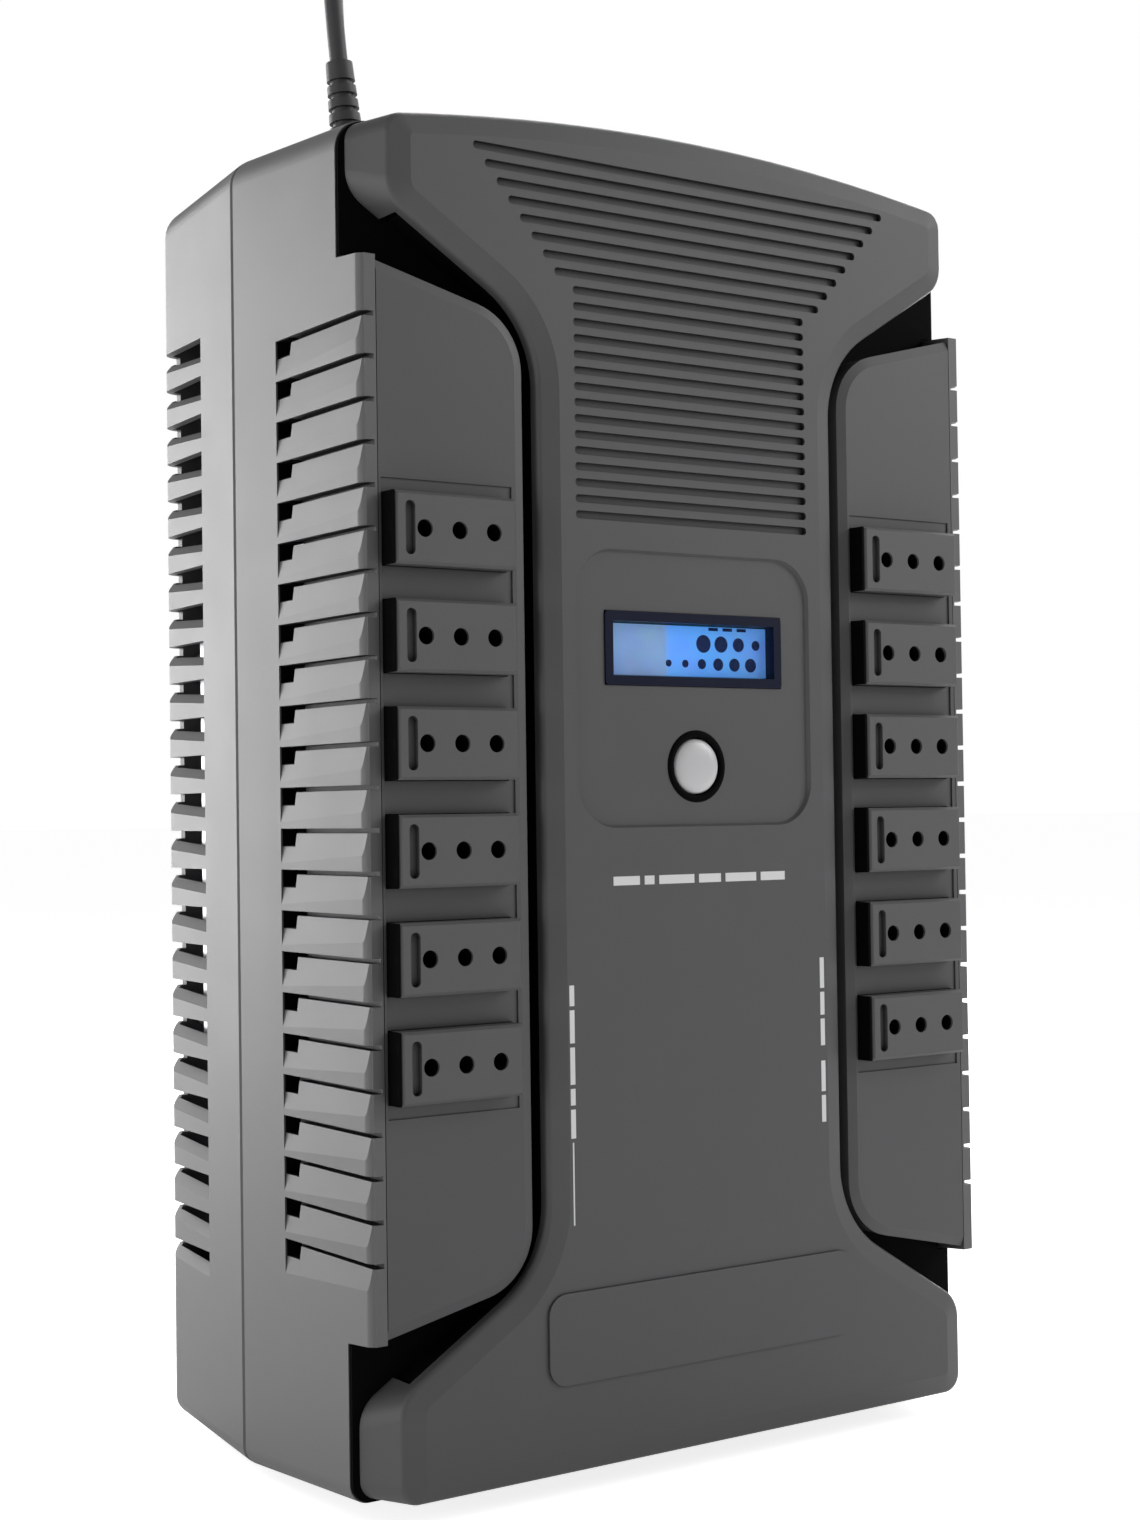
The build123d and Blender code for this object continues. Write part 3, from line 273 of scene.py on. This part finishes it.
def finish_piece(mesh, name, body, slot_name, smooth=True):
    """A bmesh becomes an object that rides a body and takes a slot's material."""
    data = bpy.data.meshes.new(name)
    mesh.to_mesh(data)
    mesh.free()
    if smooth:
        data.shade_smooth()
    data.materials.append(MATERIALS[slot_name])
    piece = bpy.data.objects.new(name, data)
    bpy.context.scene.collection.objects.link(piece)
    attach(piece, body)
    return piece


def add_lathe(mesh, x, height, profile, segments=48):
    """Turns a profile of (radius, depth) points about a front-to-back axis at (x, height)."""
    rings = []
    for radius, depth in profile:
        ring = []
        for i in range(segments):
            angle = 2 * math.pi * i / segments
            spot = place(x + radius * math.cos(angle), depth, height + radius * math.sin(angle))
            ring.append(mesh.verts.new(spot))
        rings.append(ring)
    for near, far in zip(rings, rings[1:]):
        for i in range(segments):
            j = (i + 1) % segments
            mesh.faces.new((near[i], far[i], far[j], near[j]))


def add_plate(mesh, x0, x1, height0, height1, depth0, depth1):
    """Adds a small box: from x0 to x1 across, from height0 to height1 and from depth0 to depth1."""

    def upright(x, depth):
        return [mesh.verts.new(place(x, depth, height)) for height in (height0, height1)]

    a, b, c, d = (upright(x, depth) for x in (x0, x1) for depth in (depth0, depth1))
    faces = [
        (a[0], c[0], c[1], a[1]),
        (d[0], b[0], b[1], d[1]),
        (b[0], a[0], a[1], b[1]),
        (c[0], d[0], d[1], c[1]),
        (a[1], c[1], d[1], b[1]),
        (a[0], b[0], d[0], c[0]),
    ]
    for face in faces:
        mesh.faces.new(face)


def make_button():
    """The button's domed, satin silver cap in place of the plain CAD one."""
    mesh = bmesh.new()
    face = BUTTON_FACE
    dome = [(0.01, face - 0.35), (2.2, face - 0.32), (4.2, face - 0.2), (5.6, face + 0.05)]
    edge = [(6.4, face + 0.4), (6.85, face + 0.9), (7.0, face + 1.5)]
    stem = [(7.0, 6.9), (6.5, 6.95), (6.5, 7.4)]
    flange = [(8.8, 7.4), (8.8, 8.2), (0.01, 8.2)]
    add_lathe(mesh, 0, BUTTON_HEIGHT, dome + edge + stem + flange, 64)
    button = finish_piece(mesh, "button_cap", "power_button", "button_silver")
    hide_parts("power_button")


def make_collar():
    """The thin dark ring round the button, a little proud of the recess."""
    mesh = bmesh.new()
    profile = [(7.25, 6.8), (7.25, 3.9), (7.5, 3.6), (8.3, 3.5), (8.9, 3.7), (9.2, 4.05)]
    add_lathe(mesh, 0, BUTTON_HEIGHT, profile, 64)
    collar = finish_piece(mesh, "button_collar", "housing", "liner_black")


def make_display_marks():
    """Dark dots and short bars on the display, as its segments show."""
    mesh = bmesh.new()
    front = DISPLAY_FACE - 0.08
    back = DISPLAY_FACE - 0.01
    upper_row = (4.8, 5.7, DISPLAY_HEIGHT + 2.0, (2.3, 2.1, 1.8, 1.3))
    lower_row = (-6.4, 5.3, DISPLAY_HEIGHT - 3.2, (0.9, 1.0, 1.3, 1.6, 1.7, 1.8))
    for first_x, pitch, height, radii in (upper_row, lower_row):
        for i, radius in enumerate(radii):
            dot = [(0.01, front), (radius, front), (radius, back)]
            add_lathe(mesh, first_x + i * pitch, height, dot, 24)
    for i in range(3):
        x = 8.0 + i * 4.6
        add_plate(mesh, x - 1.5, x + 1.5, DISPLAY_HEIGHT + 5.4, DISPLAY_HEIGHT + 6.2, front, back)
    marks = finish_piece(mesh, "display_marks", "housing", "display_ink", smooth=False)


def make_hole_shade_linings():
    """A thin black lining in each outlet hole, set back from the outlet's face and clear of a 4 mm pin, as
    painted shade that keeps the holes dark.
    """
    mesh = bmesh.new()
    profile = [(2.09, 8.9), (2.09, 0.7), (2.03, 0.75), (2.03, 8.9)]
    for side in (-1, 1):
        for height in row(OUTLETS, OUTLET_PITCH):
            for x in row(3, PIN_PITCH):
                # Painted shade: black sleeves stand in for the shade inside each outlet hole.
                add_lathe(mesh, side * OUTLET_X + x, height, profile, 24)
    linings = finish_piece(mesh, "hole_shade_sleeves", "housing", "liner_black")


def make_vent_shade_linings():
    """Thin black linings behind, above and below each side vent's open end, as painted shade that keeps the
    slits dark.
    """
    mesh = bmesh.new()
    wall = 47.25
    for side in (-1, 1):
        xs = sorted(side * x for x in VENT_SIDES)
        for middle in row(VENTS, VENT_PITCH):
            top = middle + VENT_TOP
            # Painted shade: black sheets stand in for the shade inside each vent slit.
            add_plate(mesh, *xs, top - 4.35, top - 0.05, wall, VENT_BACK)
            add_plate(mesh, *xs, top - 0.2, top - 0.05, VENT_FRONT, wall)
            add_plate(mesh, *xs, top - 4.35, top - 4.2, VENT_FRONT, wall)
    linings = finish_piece(mesh, "vent_shade_linings", "housing", "liner_black", smooth=False)


def make_print():
    """Plain white dashes below the button and beside the waist, where the object carries print."""
    mesh = bmesh.new()
    front = COVER_FACE - 0.03
    back = COVER_FACE + 0.02
    for top, length in ((-46, 5), (-52, 8), (-61, 9), (-71, 4), (-76, 7)):
        add_plate(mesh, -40.6, -39.2, top - length, top, front, back)
    for top, length in ((-43, 8), (-52, 6), (-59, 7), (-70, 8), (-79, 7)):
        add_plate(mesh, 38.9, 40.3, top - length, top, front, back)
    add_plate(mesh, -40.2, -39.8, -104, -84, front, back)
    for left, length in ((-27, 8), (-17.5, 3), (-13, 11), (-0.5, 7), (8, 10), (19.5, 8)):
        add_plate(mesh, left, left + length, -22.2, -20.0, front, back)
    printed = finish_piece(mesh, "print_dashes", "housing", "print_white", smooth=False)


make_button()
make_collar()
make_display_marks()
make_hole_shade_linings()
make_vent_shade_linings()
make_print()

# ---------------------------------------------------------------- power cord

# The cord's size in metres; then its way, in the same millimetres as above.
CORD_DIAMETER = 0.005
SLEEVE_TIP = (-51.684, 93.163, 202.819)
CORD_ROUTE = [
    (-53.08, 94.11, 220.74),
    (-51.8, 97.0, 240.0),
    (-44.5, 110.2, 262.4),
    (-31.7, 133.4, 267.6),
    (-20.8, 152.5, 251.7),
    (-17.0, 157.0, 224.0),
    (-15.0, 156.4, 194.0),
    (-15.8, 157.6, 140.0),
    (-14.6, 157.0, 70.0),
    (-13.8, 157.8, 0.0),
    (-14.8, 158.4, -62.0),
    (-15.4, 157.2, -108.0),
    (-12.0, 155.6, -142.0),
    (6.0, 150.6, -165.4),
    (44.0, 146.0, -167.5),
]
COIL_X = 44.0
COIL_DEPTH = 181.5
COIL_OUTER_R = 35.5
COIL_INNER_R = 18.0
COIL_TURNS = 7
TURN_POINTS = 16
COIL_LOW = -167.5
LAYER_STEP = 5.0
PLUG_X = 92.0
PLUG_HEIGHT = -162.5


def coil_points():
    """Points of a flat coil of two layers: it winds in on the floor, steps up and winds out on top."""
    count = COIL_TURNS * TURN_POINTS
    spline_gain = 1 / (0.75 + 0.25 * math.cos(2 * math.pi / TURN_POINTS))
    points = []
    for i in range(1, count):
        share = i / count
        radius = COIL_INNER_R + (COIL_OUTER_R - COIL_INNER_R) * abs(2 * share - 1)
        radius *= spline_gain
        turned = 2 * math.pi * i / TURN_POINTS - math.pi / 2
        rise = min(1.0, max(0.0, (share - 0.5) * COIL_TURNS + 0.5))
        height = COIL_LOW + LAYER_STEP * rise * rise * (3 - 2 * rise)
        x = COIL_X + radius * math.cos(turned)
        depth = COIL_DEPTH + radius * math.sin(turned)
        points.append((x, depth, height))
    return points


def make_cord():
    """The cord as one smooth curve, from the sleeve's tip through the coil to the plug."""
    near = COIL_DEPTH - COIL_OUTER_R
    tail = [(x, near, PLUG_HEIGHT) for x in (COIL_X, COIL_X + 20, PLUG_X)]
    points = [SLEEVE_TIP] + CORD_ROUTE + coil_points() + tail
    curve = bpy.data.curves.new("cord_flex", "CURVE")
    curve.dimensions = "3D"
    curve.bevel_depth = CORD_DIAMETER / 2
    curve.bevel_resolution = 5
    curve.resolution_u = 8
    spline = curve.splines.new("NURBS")
    spline.points.add(len(points) - 1)
    for point, spot in zip(spline.points, points):
        point.co = (*place(*spot), 1.0)
    spline.order_u = 3
    spline.use_endpoint_u = True
    curve.materials.append(MATERIALS["cord_grey"])
    flex = bpy.data.objects.new("cord_flex", curve)
    bpy.context.scene.collection.objects.link(flex)
    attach(flex, "housing")
    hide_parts("power_cord", "cord_coil", "cord_tail")


make_cord()

# ---------------------------------------------------------------- studio


def softbox(name, at, aim, width, height, power):
    """A rectangular area light that faces a point."""
    light = bpy.data.lights.new(name, "AREA")
    light.shape = "RECTANGLE"
    light.size = width
    light.size_y = height
    light.energy = power
    lamp = bpy.data.objects.new(name, light)
    lamp.location = at
    lamp.rotation_mode = "QUATERNION"
    lamp.rotation_quaternion = (Vector(aim) - Vector(at)).to_track_quat("-Z", "Y")
    bpy.context.scene.collection.objects.link(lamp)


def make_world(light, backdrop):
    """A dim even light all round, and a white backdrop that only the camera sees."""
    world = bpy.data.worlds.new("studio")
    bpy.context.scene.world = world
    world.use_nodes = True
    tree = world.node_tree
    ambient = tree.nodes["Background"]
    ambient.inputs["Color"].default_value = (1, 1, 1, 1)
    ambient.inputs["Strength"].default_value = light
    seen = tree.nodes.new("ShaderNodeBackground")
    seen.inputs["Color"].default_value = (1, 1, 1, 1)
    seen.inputs["Strength"].default_value = backdrop
    path = tree.nodes.new("ShaderNodeLightPath")
    choose = tree.nodes.new("ShaderNodeMixShader")
    tree.links.new(path.outputs["Is Camera Ray"], choose.inputs["Fac"])
    tree.links.new(ambient.outputs["Background"], choose.inputs[1])
    tree.links.new(seen.outputs["Background"], choose.inputs[2])
    tree.links.new(choose.outputs["Shader"], tree.nodes["World Output"].inputs["Surface"])


def floor_material():
    """A white floor that looks evenly bright to the camera."""
    material, tree, shader = new_material("floor_white", 0.9, 0.0)
    shader.inputs["Base Color"].default_value = (0.8, 0.8, 0.8, 1)
    shader.inputs["Emission Color"].default_value = (1, 1, 1, 1)
    path = tree.nodes.new("ShaderNodeLightPath")
    glow = tree.nodes.new("ShaderNodeMapRange")
    glow.inputs["To Min"].default_value = 0.25
    glow.inputs["To Max"].default_value = 0.8
    tree.links.new(path.outputs["Is Camera Ray"], glow.inputs["Value"])
    tree.links.new(glow.outputs["Result"], shader.inputs["Emission Strength"])
    add_grain(tree, shader, 0.004, 0.02)
    return material


# Each soft light's name, place in metres, width, height and power.
LIGHTS = [
    ("light_left", (-0.46, 1.15, 0.2), 0.55, 1.1, 17),
    ("light_side", (-1.5, 0.0, 0.2), 0.9, 0.7, 8),
    ("light_right", (1.3, -0.9, 0.95), 0.9, 0.9, 13),
    ("light_top", (0.6, 0.4, 1.2), 0.9, 0.9, 13),
    ("light_rim", (1.5, 0.9, 0.4), 0.6, 0.9, 14),
]
LIGHTS_AIM = (0, 0, 0.2)


def make_studio():
    """A white room: the main light is low behind on the left, and the others fill and edge the shape."""
    make_world(0.23, 1.0)
    for name, at, width, height, power in LIGHTS:
        softbox(name, at, LIGHTS_AIM, width, height, power)
    bpy.ops.mesh.primitive_plane_add(size=60, location=(0, 0, FLOOR_Z))
    floor = bpy.context.object
    floor.name = "floor"
    floor.data.materials.append(floor_material())


make_studio()
bpy.context.scene.view_settings.view_transform = "Standard"
